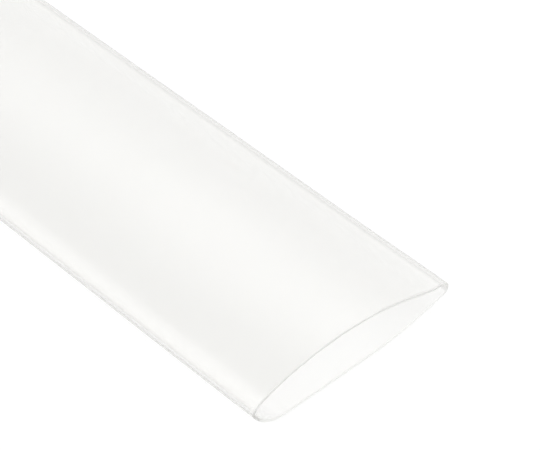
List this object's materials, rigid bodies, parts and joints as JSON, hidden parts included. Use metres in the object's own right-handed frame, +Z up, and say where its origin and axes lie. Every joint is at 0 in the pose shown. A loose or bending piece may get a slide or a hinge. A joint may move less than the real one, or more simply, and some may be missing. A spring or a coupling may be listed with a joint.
{
  "type": "heat shrink tube",
  "caption": "Clear polyolefin heat shrink tube, supplied flat: a thin-walled sleeve with a lens-shaped bore, cut square at both ends, slipped over a cable or splice and shrunk on.",
  "frame": {"origin": "middle of the length, midway between the two folds, on the surface that the tube lies on", "axes": "+X along the tube, towards the mouth seen in the picture; +Y across it, towards the shut fold; +Z up, through its flattened thickness"},
  "size_m": [0.1524, 0.039, 0.0087],
  "materials": {
    "clear_polyolefin": "clear, slightly milky, smooth extruded gloss"
  },
  "bodies": {
    "root": {"heat_shrink_tube": "clear_polyolefin"}
  },
  "joints": []
}
